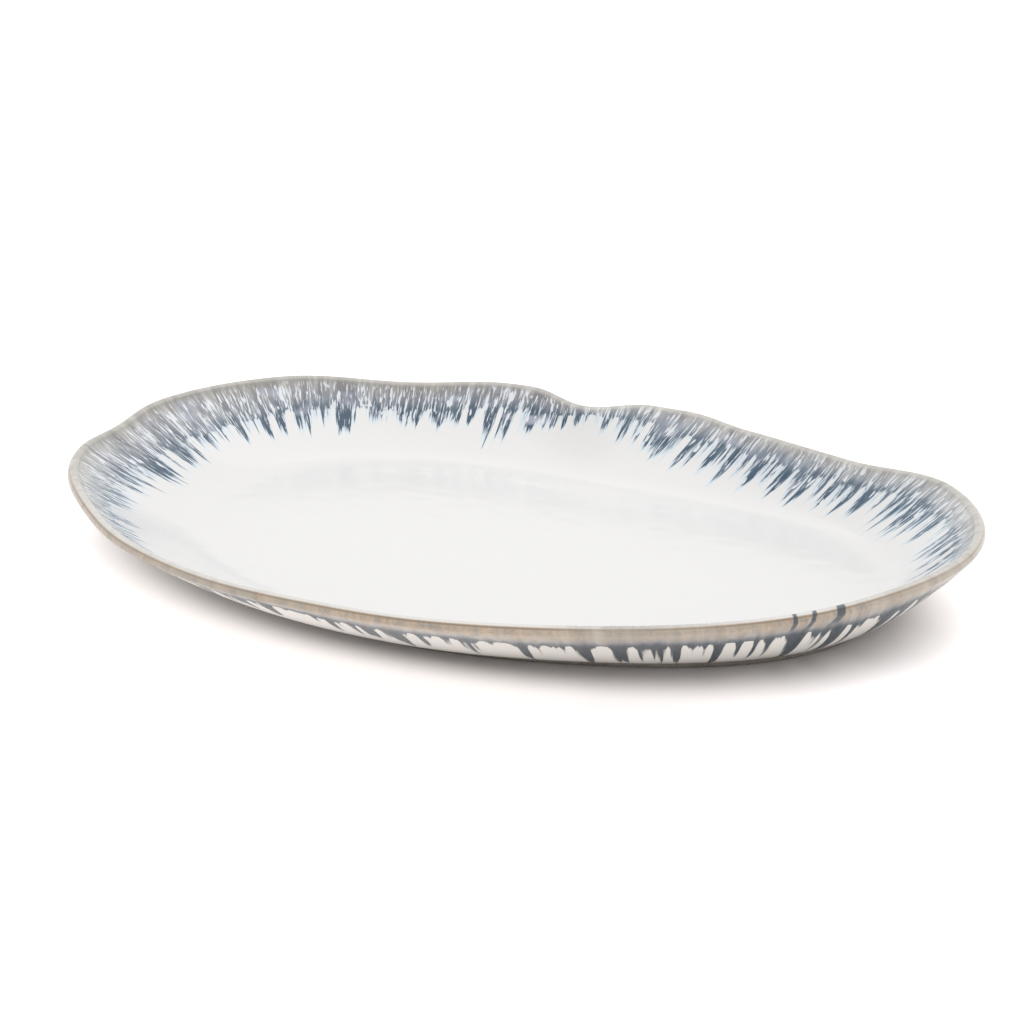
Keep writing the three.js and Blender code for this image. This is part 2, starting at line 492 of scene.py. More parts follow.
MATH = "ShaderNodeMath"
VECTORS = "ShaderNodeVectorMath"
RANGE = "ShaderNodeMapRange"
MIX = "ShaderNodeMix"
ADD = {"operation": "ADD"}
SUBTRACT = {"operation": "SUBTRACT"}
MULTIPLY = {"operation": "MULTIPLY"}
MULTIPLY_ADD = {"operation": "MULTIPLY_ADD"}
SMOOTH = {"interpolation_type": "SMOOTHSTEP"}
UNCLAMPED = {"clamp": False}
MIX_VALUES = {"data_type": "FLOAT"}
MIX_COLOURS = {"data_type": "RGBA", "clamp_factor": True}
COLOUR_A, COLOUR_B, COLOUR_OUT = 6, 7, 2
VALUE_A, VALUE_B, VALUE_OUT = 2, 3, 0


def linear(colour: str) -> tuple[float, float, float, float]:
    """Turns an sRGB hex colour to the linear values that shaders use.

    Args:
        colour: The colour as a hash and six hex digits.

    Returns:
        Its red, green and blue, and 1 for its alpha.
    """
    values = [int(colour[i : i + 2], 16) / 255 for i in (1, 3, 5)]
    turned = [v / 12.92 if v <= 0.04045 else ((v + 0.055) / 1.055) ** 2.4 for v in values]
    return (*turned, 1.0)


def add_node(
    tree: Tree,
    kind: str,
    settings: dict[str, object] | None = None,
    inputs: dict[str | int, object] | None = None,
) -> bpy.types.Node:
    """Adds one node with its settings and links.

    Args:
        tree: The node tree that it goes in.
        kind: Blender's name for the kind of node.
        settings: The node's own properties and their values.
        inputs: Values or output sockets for its inputs, by name or number.

    Returns:
        The new node.
    """
    node = tree.nodes.new(kind)
    for name, value in (settings or {}).items():
        setattr(node, name, value)
    for name, value in (inputs or {}).items():
        if isinstance(value, Socket):
            tree.links.new(value, node.inputs[name])
        else:
            node.inputs[name].default_value = value
    return node


@dataclass(frozen=True)
class Pattern:
    """A noise in the run of the glaze.

    The grain is in millimetres round the rim and down the wall. A higher contrast spreads
    the values further, the shift picks another stretch of the same noise, and the middle is
    the noise that becomes a half.
    """

    round_rim: float
    down_wall: float
    contrast: float
    shift: float
    detail: float = 2.0
    roughness: float = 0.55
    middle: float = 0.5

    def add_to(self, tree: Tree, run: Socket) -> Socket:
        """Adds the noise to a material.

        Args:
            tree: The material's nodes.
            run: The place in the run of the glaze, in millimetres.

        Returns:
            A value that is mostly between 0 and 1.
        """
        scale = (1 / self.round_rim, 1 / self.round_rim, 1 / self.down_wall)
        moved = {"Vector": run, "Scale": scale, "Location": (self.shift, 0.0, self.shift)}
        place = add_node(tree, "ShaderNodeMapping", inputs=moved).outputs["Vector"]
        grain = {"Vector": place, "Scale": 1.0, "Detail": self.detail, "Roughness": self.roughness}
        value = add_node(tree, "ShaderNodeTexNoise", inputs=grain).outputs["Fac"]
        half = 0.5 / self.contrast
        spread = {"Value": value, "From Min": self.middle - half, "From Max": self.middle + half}
        return add_node(tree, RANGE, UNCLAMPED, spread).outputs["Result"]


@dataclass(frozen=True)
class Band:
    """The glaze's colour at one share of its reach, where it lies thin and where it lies thick."""

    share: float
    thin: str
    thick: str


@dataclass(frozen=True)
class Crossing:
    """A dark run that crosses the tan coat.

    It has its place on the circle of runs, how far it moves round for each millimetre up,
    and half its width.
    """

    place: tuple[float, float, float]
    drift: tuple[float, float, float]
    half_width: float


@dataclass(frozen=True)
class GlazePoint:
    """What a glaze's material knows of the point that it colours.

    It has the material's nodes, the place in the run of the glaze, the distance over the
    crest in millimetres, the signed share of the band, that share unevenly shifted, how
    thick the glaze lies, how tan the lip is, how uneven the glaze is, and its strength,
    which says how far it would run.
    """

    tree: Tree
    run: Socket
    over: Socket
    share: Socket
    shifted: Socket
    thickness: Socket
    tan: Socket
    mottle: Socket
    strength: Socket


@dataclass(frozen=True)
class PlatterGlaze:
    """China glaze fired to a soft gloss: white, with a reactive blue-grey band at the rim.

    It gives the eye a warm grey lip that cools to slate, breaks into pale hair-fine streaks,
    and ends in dark blue runs that narrow to points with a pale blue halo round them.
    """

    name: str
    crossings: tuple[Crossing, ...]
    white: str = "#e4e3e2"
    # Darker than the white inside: painted shade on the outer wall and base.
    outer_white_painted_shade: str = "#d2cfca"
    halo: str = "#ccdce7"
    streak: str = "#e1e4e8"
    pool: str = "#a9aebc"
    cream: str = "#dedad4"
    tan: str = "#baa48c"
    tan_grey: str = "#88847f"
    crest_line: str = "#8c7963"
    crossing: str = "#33424e"
    bands: tuple[Band, ...] = (
        Band(-2.4, "#293d4a", "#142632"),
        Band(-1.2, "#2f414d", "#192934"),
        Band(-1.0, "#535b61", "#3a4248"),
        Band(-0.84, "#7c7f82", "#5f6368"),
        Band(-0.68, "#a6a29c", "#858381"),
        Band(-0.48, "#b0a99f", "#948d84"),
        Band(-0.1, "#c4c0b7", "#a19c93"),
        Band(0.0, "#b9b5ae", "#98948c"),
        Band(0.18, "#b6b3ad", "#8c8985"),
        Band(0.38, "#bfbebc", "#838285"),
        Band(0.75, "#a6acb1", "#737983"),
        Band(1.0, "#738290", "#4d5e6c"),
        Band(1.3, "#5b7285", "#3a5064"),
        Band(2.4, "#587387", "#354e63"),
    )
    runs: Pattern = Pattern(4.7, 120.0, 2.3, 11.0)
    tips: Pattern = Pattern(1.5, 70.0, 2.2, 23.0)
    outer_runs: Pattern = Pattern(6.6, 200.0, 2.8, 29.0, detail=1.0, middle=0.53)
    outer_tips: Pattern = Pattern(2.0, 60.0, 2.0, 17.0)
    streaks: Pattern = Pattern(0.85, 8.0, 3.2, 31.0)
    flecks: Pattern = Pattern(2.2, 8.0, 3.2, 83.0, 1.0)
    pools: Pattern = Pattern(24.0, 13.0, 2.6, 59.0, 1.0)
    mottle: Pattern = Pattern(3.4, 17.0, 2.4, 71.0, 3.0)
    speckle: Pattern = Pattern(1.4, 1.2, 1.8, 97.0)
    brush: Pattern = Pattern(38.0, 0.9, 2.0, 43.0)
    drips: Pattern = Pattern(2.6, 14.0, 2.0, 67.0)
    outer_tips_part: float = 0.28
    inner_tips_part: float = 0.35
    waver: float = 0.22
    mottle_thickens: float = 0.6
    strength_thickens: float = 1.5
    strength_clears: float = 0.45
    thinness_streaks: float = 0.03
    solid_hold: float = 1.5
    relief: float = 0.12
    white_roughness: float = 0.17
    band_roughness: float = 0.27
    outer_shine: float = 0.2
    inner_shine: float = 0.5

    def material(self) -> bpy.types.Material:
        """Builds the glaze's material.

        Returns:
            The material, which reads the attributes of the glazed surface.
        """
        made = bpy.data.materials.new(self.name)
        made.use_nodes = True
        tree = made.node_tree
        tree.nodes.clear()
        run = add_node(tree, "ShaderNodeAttribute", {"attribute_name": RUN_ATTRIBUTE}).outputs["Vector"]
        flow = add_node(tree, "ShaderNodeAttribute", {"attribute_name": FLOW_ATTRIBUTE}).outputs["Vector"]
        over = add_node(tree, "ShaderNodeSeparateXYZ", inputs={0: run}).outputs["Z"]
        share, thickness, tan = add_node(tree, "ShaderNodeSeparateXYZ", inputs={0: flow}).outputs
        mottle = self.mottle.add_to(tree, run)
        strength = self._run_strength(tree, run, share)
        wavy = {0: mottle, 1: self.waver, 2: -self.waver / 2}
        wave = add_node(tree, MATH, MULTIPLY_ADD, wavy).outputs[0]
        shifted = add_node(tree, MATH, ADD, {0: share, 1: wave}).outputs[0]
        point = GlazePoint(tree, run, over, share, shifted, thickness, tan, mottle, strength)
        colour = self._band_colour(point)
        colour = self._pale_streaks(point, colour)
        colour = self._tan_lip(point, colour)
        colour, cover = self._over_white(point, colour)
        colour = self._crossing_runs(point, colour)
        shader = self._gloss(point, colour, cover)
        add_node(tree, "ShaderNodeOutputMaterial", inputs={"Surface": shader})
        return made

    def _run_strength(self, tree: Tree, run: Socket, share: Socket) -> Socket:
        """How far the glaze at each place would run, inside and outside the rim.

        Args:
            tree: The material's nodes.
            run: The place in the run of the glaze.
            share: The signed share of the band.

        Returns:
            A strength that is compared with how far down a point lies.
        """
        outer = (self.outer_runs, self.outer_tips, self.outer_tips_part)
        inner = (self.runs, self.tips, self.inner_tips_part)
        sides = []
        for wide, fine, part in (outer, inner):
            pair = {0: part, VALUE_A: wide.add_to(tree, run), VALUE_B: fine.add_to(tree, run)}
            sides.append(add_node(tree, MIX, MIX_VALUES, pair).outputs[VALUE_OUT])
        is_inside = {"Value": share, "From Min": -0.02, "From Max": 0.02}
        inside = add_node(tree, RANGE, inputs=is_inside).outputs["Result"]
        pair = {0: inside, VALUE_A: sides[0], VALUE_B: sides[1]}
        return add_node(tree, MIX, MIX_VALUES, pair).outputs[VALUE_OUT]

    def _band_colour(self, point: GlazePoint) -> Socket:
        """The band's colour from the lip down, thin or thick, with lavender pools.

        Args:
            point: What is known of the point. Glaze lies thicker where it runs further.

        Returns:
            The colour.
        """
        tree = point.tree
        lowest = self.bands[0].share
        highest = self.bands[-1].share
        spread = {"Value": point.shifted, "From Min": lowest, "From Max": highest}
        along = add_node(tree, RANGE, inputs=spread).outputs["Result"]
        ramps = []
        for kind in ("thin", "thick"):
            ramp = add_node(tree, "ShaderNodeValToRGB", inputs={"Fac": along})
            stops = ramp.color_ramp.elements
            for band in self.bands[1:-1]:
                stops.new((band.share - lowest) / (highest - lowest))
            for stop, band in zip(stops, self.bands):
                stop.color = linear(getattr(band, kind))
            ramps.append(ramp.outputs["Color"])
        lies = point.thickness
        thickening = ((point.mottle, self.mottle_thickens), (point.strength, self.strength_thickens))
        for value, amount in thickening:
            change = {0: value, 1: amount, 2: -amount / 2}
            change = add_node(tree, MATH, MULTIPLY_ADD, change).outputs[0]
            lies = add_node(tree, MATH, ADD, {0: lies, 1: change}).outputs[0]
        pair = {0: lies, COLOUR_A: ramps[0], COLOUR_B: ramps[1]}
        colour = add_node(tree, MIX, MIX_COLOURS, pair).outputs[COLOUR_OUT]
        pools = {"Value": self.pools.add_to(tree, point.run), "From Min": 0.62, "From Max": 1.05}
        pooled = add_node(tree, RANGE, SMOOTH, pools).outputs["Result"]
        inner = {"Value": point.shifted, "From Min": 0.1, "From Max": 0.5}
        inside = add_node(tree, RANGE, SMOOTH, inner).outputs["Result"]
        both = add_node(tree, MATH, MULTIPLY, {0: pooled, 1: inside}).outputs[0]
        deep = add_node(tree, MATH, MULTIPLY, {0: both, 1: point.thickness}).outputs[0]
        pair = {0: deep, COLOUR_A: colour, COLOUR_B: linear(self.pool)}
        return add_node(tree, MIX, MIX_COLOURS, pair).outputs[COLOUR_OUT]

    def _pale_streaks(self, point: GlazePoint, colour: Socket) -> Socket:
        """Short pale streaks where the white shows through the band inside the lip.

        Args:
            point: What is known of the point. There are more streaks where the glaze lies
                thin, and fewer where it is strong.
            colour: The band's colour.

        Returns:
            The colour with the streaks.
        """
        tree = point.tree
        starts = {"Value": point.share, "From Min": 0.08, "From Max": 0.35}
        started = add_node(tree, RANGE, SMOOTH, starts).outputs["Result"]
        weaker = {0: point.strength, 1: -self.strength_clears, 2: self.strength_clears / 2}
        weak = add_node(tree, MATH, MULTIPLY_ADD, weaker).outputs[0]
        thins = {"Value": point.thickness, "From Min": 0.6, "From Max": 0.2}
        thins |= {"To Max": self.thinness_streaks}
        thin = add_node(tree, RANGE, inputs=thins).outputs["Result"]
        weak = add_node(tree, MATH, ADD, {0: weak, 1: thin}).outputs[0]
        kinds = ((self.streaks, 0.54, 0.95, 0.9), (self.flecks, 0.82, 1.0, 0.95))
        for pattern, low, high, amount in kinds:
            both = {0: pattern.add_to(tree, point.run), 1: weak}
            likely = add_node(tree, MATH, ADD, both).outputs[0]
            shown = {"Value": likely, "From Min": low, "From Max": high, "To Max": amount}
            pale = add_node(tree, RANGE, SMOOTH, shown).outputs["Result"]
            part = add_node(tree, MATH, MULTIPLY, {0: pale, 1: started}).outputs[0]
            pair = {0: part, COLOUR_A: colour, COLOUR_B: linear(self.streak)}
            colour = add_node(tree, MIX, MIX_COLOURS, pair).outputs[COLOUR_OUT]
        return colour

    def _tan_lip(self, point: GlazePoint, colour: Socket) -> Socket:
        """The tan coat outside the lip, brushed on, with a thin brown line at its top.

        Args:
            point: What is known of the point.
            colour: The band's colour.

        Returns:
            The colour with the tan coat.
        """
        tree = point.tree
        over = point.over
        brush = self.brush.add_to(tree, point.run)
        drips = self.drips.add_to(tree, point.run)
        lines = {0: 0.75, VALUE_A: brush, VALUE_B: drips}
        brushed = add_node(tree, MIX, MIX_VALUES, lines).outputs[VALUE_OUT]
        grained = {0: 0.4, VALUE_A: brushed, VALUE_B: self.speckle.add_to(tree, point.run)}
        grain = add_node(tree, MIX, MIX_VALUES, grained).outputs[VALUE_OUT]
        spread = {"Value": grain, "From Min": 0.28, "From Max": 0.75}
        grain = add_node(tree, RANGE, inputs=spread).outputs["Result"]
        pair = {0: grain, COLOUR_A: linear(self.tan), COLOUR_B: linear(self.tan_grey)}
        coat = add_node(tree, MIX, MIX_COLOURS, pair).outputs[COLOUR_OUT]
        # Each paint fades in between two places at its top and in between two at its foot.
        edges = (
            (over, 4.0, 2.0, over, -2.0, -1.2, linear(self.cream)),
            (over, -0.8, -1.6, point.shifted, -0.66, -0.34, coat),
            (over, -1.2, -1.7, over, -2.5, -2.0, linear(self.crest_line)),
        )
        for top, top_start, top_full, low, low_start, low_full, paint in edges:
            above = {"Value": top, "From Min": top_start, "From Max": top_full}
            below = {"Value": low, "From Min": low_start, "From Max": low_full}
            high = add_node(tree, RANGE, SMOOTH, above).outputs["Result"]
            deep = add_node(tree, RANGE, SMOOTH, below).outputs["Result"]
            part = add_node(tree, MATH, MULTIPLY, {0: high, 1: deep}).outputs[0]
            part = add_node(tree, MATH, MULTIPLY, {0: part, 1: point.tan}).outputs[0]
            pair = {0: part, COLOUR_A: colour, COLOUR_B: paint}
            colour = add_node(tree, MIX, MIX_COLOURS, pair).outputs[COLOUR_OUT]
        return colour

    def _over_white(self, point: GlazePoint, colour: Socket) -> tuple[Socket, Socket]:
        """Lays the band over the white glaze, whole at the rim and in runs further down.

        Args:
            point: What is known of the point.
            colour: The band's colour.

        Returns:
            The colour, and how much of the band there is.
        """
        tree = point.tree
        down = add_node(tree, MATH, {"operation": "ABSOLUTE"}, {0: point.share}).outputs[0]
        # The strength that a run needs grows in three steps, and none reaches past the last.
        needed = 0.0
        for low, high, amount in ((0.85, 1.15, 0.42), (1.15, 2.3, 0.5), (2.0, 2.6, 1.5)):
            stretch = {"Value": down, "From Min": low, "From Max": high, "To Max": amount}
            more = add_node(tree, RANGE, SMOOTH, stretch).outputs["Result"]
            needed = add_node(tree, MATH, ADD, {0: needed, 1: more}).outputs[0]
        depth = add_node(tree, MATH, SUBTRACT, {0: point.strength, 1: needed}).outputs[0]
        solid = {"Value": down, "From Min": 1.0, "From Max": 0.7, "To Max": self.solid_hold}
        whole = add_node(tree, RANGE, SMOOTH, solid).outputs["Result"]
        depth = add_node(tree, MATH, ADD, {0: depth, 1: whole}).outputs[0]
        rims = {"Value": depth, "From Min": -0.09, "From Max": 0.0, "To Max": 0.7}
        near = add_node(tree, RANGE, SMOOTH, rims).outputs["Result"]
        sides = {"Value": point.share, "From Min": -0.3, "From Max": 0.3}
        inside = add_node(tree, RANGE, inputs=sides).outputs["Result"]
        # Outside the rim the white is the darker copy, which is painted shade.
        pair = {0: inside, COLOUR_A: linear(self.outer_white_painted_shade), COLOUR_B: linear(self.white)}
        white = add_node(tree, MIX, MIX_COLOURS, pair).outputs[COLOUR_OUT]
        ringed = add_node(tree, MATH, MULTIPLY, {0: near, 1: inside}).outputs[0]
        pair = {0: ringed, COLOUR_A: white, COLOUR_B: linear(self.halo)}
        under = add_node(tree, MIX, MIX_COLOURS, pair).outputs[COLOUR_OUT]
        covers = {"Value": depth, "From Min": 0.0, "From Max": 0.12}
        cover = add_node(tree, RANGE, SMOOTH, covers).outputs["Result"]
        pair = {0: cover, COLOUR_A: under, COLOUR_B: colour}
        return add_node(tree, MIX, MIX_COLOURS, pair).outputs[COLOUR_OUT], cover

    def _crossing_runs(self, point: GlazePoint, colour: Socket) -> Socket:
        """A few dark runs that cross the tan coat from inside the lip.

        Args:
            point: What is known of the point.
            colour: The colour so far.

        Returns:
            The colour with the runs.
        """
        tree = point.tree
        flat = {0: point.run, 1: (1.0, 1.0, 0.0)}
        level = add_node(tree, VECTORS, MULTIPLY, flat).outputs["Vector"]
        bulge = {"Value": self.drips.add_to(tree, point.run), "To Min": -0.5, "To Max": 0.7}
        ragged = add_node(tree, RANGE, UNCLAMPED, bulge).outputs["Result"]
        above = {"Value": point.over, "From Min": 1.6, "From Max": 0.4}
        below = {"Value": point.over, "From Min": -12.0, "From Max": -6.0}
        high = add_node(tree, RANGE, SMOOTH, above).outputs["Result"]
        deep = add_node(tree, RANGE, SMOOTH, below).outputs["Result"]
        stretch = add_node(tree, MATH, MULTIPLY, {0: high, 1: deep}).outputs[0]
        for crossing in self.crossings:
            leaning = {0: point.over, 1: crossing.drift, 2: crossing.place}
            middle = add_node(tree, VECTORS, MULTIPLY_ADD, leaning).outputs["Vector"]
            away = {0: level, 1: middle}
            gap = add_node(tree, VECTORS, {"operation": "DISTANCE"}, away).outputs["Value"]
            gap = add_node(tree, MATH, ADD, {0: gap, 1: ragged}).outputs[0]
            half = crossing.half_width
            width = {"Value": gap, "From Min": half + 0.4, "From Max": half - 0.4, "To Max": 0.85}
            near = add_node(tree, RANGE, SMOOTH, width).outputs["Result"]
            part = add_node(tree, MATH, MULTIPLY, {0: near, 1: stretch}).outputs[0]
            pair = {0: part, COLOUR_A: colour, COLOUR_B: linear(self.crossing)}
            colour = add_node(tree, MIX, MIX_COLOURS, pair).outputs[COLOUR_OUT]
        return colour

    def _gloss(self, point: GlazePoint, colour: Socket, cover: Socket) -> Socket:
        """The fired surface: glossy inside, more satin outside, and raised a little at the runs.

        Args:
            point: What is known of the point.
            colour: The finished colour.
            cover: How much of the band there is.

        Returns:
            The shader.
        """
        tree = point.tree
        raised = add_node(tree, MATH, MULTIPLY, {0: cover, 1: point.mottle}).outputs[0]
        relief = {"Height": raised, "Strength": 0.35, "Distance": self.relief * MM}
        normal = add_node(tree, "ShaderNodeBump", inputs=relief).outputs["Normal"]
        satin = {"Value": cover, "To Min": self.white_roughness, "To Max": self.band_roughness}
        rough = add_node(tree, RANGE, inputs=satin).outputs["Result"]
        shines = {"Value": point.share, "From Min": -0.8, "From Max": 0.0}
        shines |= {"To Min": self.outer_shine, "To Max": self.inner_shine}
        shine = add_node(tree, RANGE, inputs=shines).outputs["Result"]
        surface = {"Base Color": colour, "Roughness": rough, "Specular IOR Level": shine, "Normal": normal}
        return add_node(tree, "ShaderNodeBsdfPrincipled", inputs=surface).outputs["BSDF"]


@dataclass(frozen=True)
class BareClay:
    """Fired stoneware without glaze: matt and warm, with sandy grain and small iron specks.

    The sizes of the grain, the patches and the gaps between specks are in millimetres.
    """

    name: str
    light: str = "#c8c0b4"
    dark: str = "#a89d8c"
    speck: str = "#6d5440"
    grain: float = 0.9
    patch: float = 14.0
    speck_spacing: float = 3.0
    relief: float = 0.15

    def material(self) -> bpy.types.Material:
        """Builds the clay's material. Its grain is drawn coarser than real clay so that it shows.

        Returns:
            The material, which reads Object coordinates.
        """
        made = bpy.data.materials.new(self.name)
        made.use_nodes = True
        tree = made.node_tree
        tree.nodes.clear()
        place = add_node(tree, "ShaderNodeTexCoord").outputs["Object"]
        values = []
        for size, detail in ((self.grain, 3.0), (self.patch, 2.0)):
            settings = {"Vector": place, "Scale": 1 / (size * MM), "Detail": detail}
            values.append(add_node(tree, "ShaderNodeTexNoise", inputs=settings).outputs["Fac"])
        pair = {0: 0.4, VALUE_A: values[0], VALUE_B: values[1]}
        blend = add_node(tree, MIX, MIX_VALUES, pair).outputs[VALUE_OUT]
        spread = {"Value": blend, "From Min": 0.35, "From Max": 0.65}
        tone = add_node(tree, RANGE, inputs=spread).outputs["Result"]
        pair = {0: tone, COLOUR_A: linear(self.light), COLOUR_B: linear(self.dark)}
        colour = add_node(tree, MIX, MIX_COLOURS, pair).outputs[COLOUR_OUT]
        cells = {"Vector": place, "Scale": 1 / (self.speck_spacing * MM)}
        gap = add_node(tree, "ShaderNodeTexVoronoi", inputs=cells).outputs["Distance"]
        shown = {"Value": gap, "From Min": 0.16, "From Max": 0.08, "To Max": 0.8}
        specks = add_node(tree, RANGE, SMOOTH, shown).outputs["Result"]
        pair = {0: specks, COLOUR_A: colour, COLOUR_B: linear(self.speck)}
        colour = add_node(tree, MIX, MIX_COLOURS, pair).outputs[COLOUR_OUT]
        relief = {"Height": values[0], "Strength": 0.6, "Distance": self.relief * MM}
        normal = add_node(tree, "ShaderNodeBump", inputs=relief).outputs["Normal"]
        surface = {"Base Color": colour, "Roughness": 0.85, "IOR": 1.5, "Normal": normal}
        shader = add_node(tree, "ShaderNodeBsdfPrincipled", inputs=surface).outputs["BSDF"]
        add_node(tree, "ShaderNodeOutputMaterial", inputs={"Surface": shader})
        return made


# ---------------------------------------------------------------- modelling


def only(piece: bpy.types.Object) -> None:
    """Selects one object and nothing else, and makes it the active one.

    Args:
        piece: The object.
    """
    bpy.ops.object.select_all(action="DESELECT")
    piece.select_set(True)
    bpy.context.view_layer.objects.active = piece


def copy_of(piece: bpy.types.Object, name: str) -> bpy.types.Object:
    """A copy of an object with a mesh of its own.

    Args:
        piece: The object that is copied.
        name: The name of the copy and of its mesh.

    Returns:
        The copy, which is then the active object.
    """
    only(piece)
    bpy.ops.object.duplicate(linked=False)
    copy = bpy.context.view_layer.objects.active
    copy.name = name
    copy.data.name = name
    return copy


def apply_modifier(piece: bpy.types.Object, kind: str, settings: dict[str, object]) -> None:
    """Adds a modifier with its settings and applies it.

    Args:
        piece: The object that gets it.
        kind: Blender's name for the kind of modifier.
        settings: The modifier's properties and their values.
    """
    only(piece)
    modifier = piece.modifiers.new(kind.lower(), kind)
    for name, value in settings.items():
        setattr(modifier, name, value)
    bpy.ops.object.modifier_apply(modifier=modifier.name)


def places_of(mesh: bpy.types.Mesh) -> np.ndarray:
    """The place of every vertex.

    Args:
        mesh: The mesh that is read.

    Returns:
        One row of X, Y and Z for each vertex.
    """
    places = np.zeros(len(mesh.vertices) * 3)
    mesh.vertices.foreach_get("co", places)
    return places.reshape(-1, 3)


def face_corners(mesh: bpy.types.Mesh) -> tuple[np.ndarray, np.ndarray]:
    """Which corners the faces have.

    Args:
        mesh: The mesh that is read.

    Returns:
        The vertex at each face corner, and the corner where each face starts.
    """
    corners = np.zeros(len(mesh.loops), dtype=np.int32)
    mesh.loops.foreach_get("vertex_index", corners)
    starts = np.zeros(len(mesh.polygons), dtype=np.int32)
    mesh.polygons.foreach_get("loop_start", starts)
    return corners, starts


def smooth_as_one(piece: bpy.types.Object) -> None:
    """Shades a cut piece with the normals of the whole surface, so that no seam shows.

    Args:
        piece: A shell cut from the surface. Its cut edges keep their flat shading.
    """
    mesh = piece.data
    corners, starts = face_corners(mesh)
    facing = np.zeros(len(mesh.vertices) * 3, dtype=np.float32)
    mesh.attributes[NORMAL_ATTRIBUTE].data.foreach_get("vector", facing)
    facing = facing.reshape(-1, 3)
    flat = np.zeros(len(mesh.polygons) * 3, dtype=np.float32)
    mesh.polygons.foreach_get("normal", flat)
    counts = np.diff(np.append(starts, len(corners)))
    flat = np.repeat(flat.reshape(-1, 3), counts, axis=0)
    wanted = facing[corners]
    cut_edge = 0.5
    agree = np.sum(flat * wanted, axis=1, keepdims=True)
    lies_along = np.abs(agree) > cut_edge
    normals = np.where(lies_along, np.sign(agree) * wanted, flat)
    mesh.normals_split_custom_set(normals.tolist())


@dataclass
class GlazedBody:
    """The clay and its fired coats, all cut from one surface so that no step shows."""

    surface: GlazedSurface

    def master(self) -> bpy.types.Object:
        """The whole glazed surface as one closed mesh, pressed out of a ball.

        Returns:
            The ball's mesh with each of its rings moved to its place on the platter.
        """
        surface = self.surface
        bpy.ops.object.select_all(action="DESELECT")
        bpy.ops.mesh.primitive_uv_sphere_add(
            segments=surface.columns, ring_count=surface.last_row, radius=1.0
        )
        ball = bpy.context.view_layer.objects.active
        ball.name = "glazed_surface"
        x, y, z = places_of(ball.data).T
        rows = np.rint(np.arccos(np.clip(z, -1, 1)) / np.pi * surface.last_row).astype(int)
        turns = np.arctan2(y, x) / (2 * np.pi) * surface.columns
        columns = np.rint(turns).astype(int) % surface.columns
        moved = surface.points[rows, columns] * MM
        ball.data.vertices.foreach_set("co", moved.ravel())
        row = ball.data.attributes.new(ROW_ATTRIBUTE, "INT", "POINT")
        row.data.foreach_set("value", rows)
        vectors = {
            RUN_ATTRIBUTE: surface.run,
            FLOW_ATTRIBUTE: surface.flow,
            NORMAL_ATTRIBUTE: surface.normals(),
        }
        for name, values in vectors.items():
            attribute = ball.data.attributes.new(name, "FLOAT_VECTOR", "POINT")
            attribute.data.foreach_set("vector", values[rows, columns].ravel())
        ball.data.update()
        only(ball)
        bpy.ops.object.shade_smooth()
        return ball

    def coat(self, master: bpy.types.Object, name: str, first: int, last: int) -> bpy.types.Object:
        """One coat of glaze, as a closed shell between two rows of the surface.

        Args:
            master: The whole glazed surface.
            name: The piece's name.
            first: The row where the coat starts.
            last: The row where it ends.

        Returns:
            The coat, with the normals of the whole surface on its outside.
        """
        piece = copy_of(master, name)
        rows = np.zeros(len(piece.data.vertices), dtype=np.int32)
        piece.data.attributes[ROW_ATTRIBUTE].data.foreach_get("value", rows)
        bpy.ops.object.mode_set(mode="EDIT")
        bpy.ops.mesh.select_mode(type="FACE")
        bpy.ops.mesh.select_all(action="DESELECT")
        bpy.ops.object.mode_set(mode="OBJECT")
        corners, starts = face_corners(piece.data)
        lowest = np.minimum.reduceat(rows[corners], starts)
        highest = np.maximum.reduceat(rows[corners], starts)
        piece.data.polygons.foreach_set("select", (lowest < first) | (highest > last))
        bpy.ops.object.mode_set(mode="EDIT")
        bpy.ops.mesh.delete(type="FACE")
        bpy.ops.object.mode_set(mode="OBJECT")
        apply_modifier(piece, "SOLIDIFY", {"thickness": self.surface.shape.glaze * MM, "offset": -1.0})
        smooth_as_one(piece)
        return piece

    def clay(self, master: bpy.types.Object) -> bpy.types.Object:
        """The clay body: the glazed surface moved in by the thickness of one coat.

        Args:
            master: The whole glazed surface.

        Returns:
            The clay body.
        """
        piece = copy_of(master, "clay_body_fine")
        bpy.ops.object.mode_set(mode="EDIT")
        bpy.ops.mesh.select_all(action="SELECT")
        bpy.ops.transform.shrink_fatten(value=-self.surface.shape.glaze * MM)
        bpy.ops.object.mode_set(mode="OBJECT")
        return piece


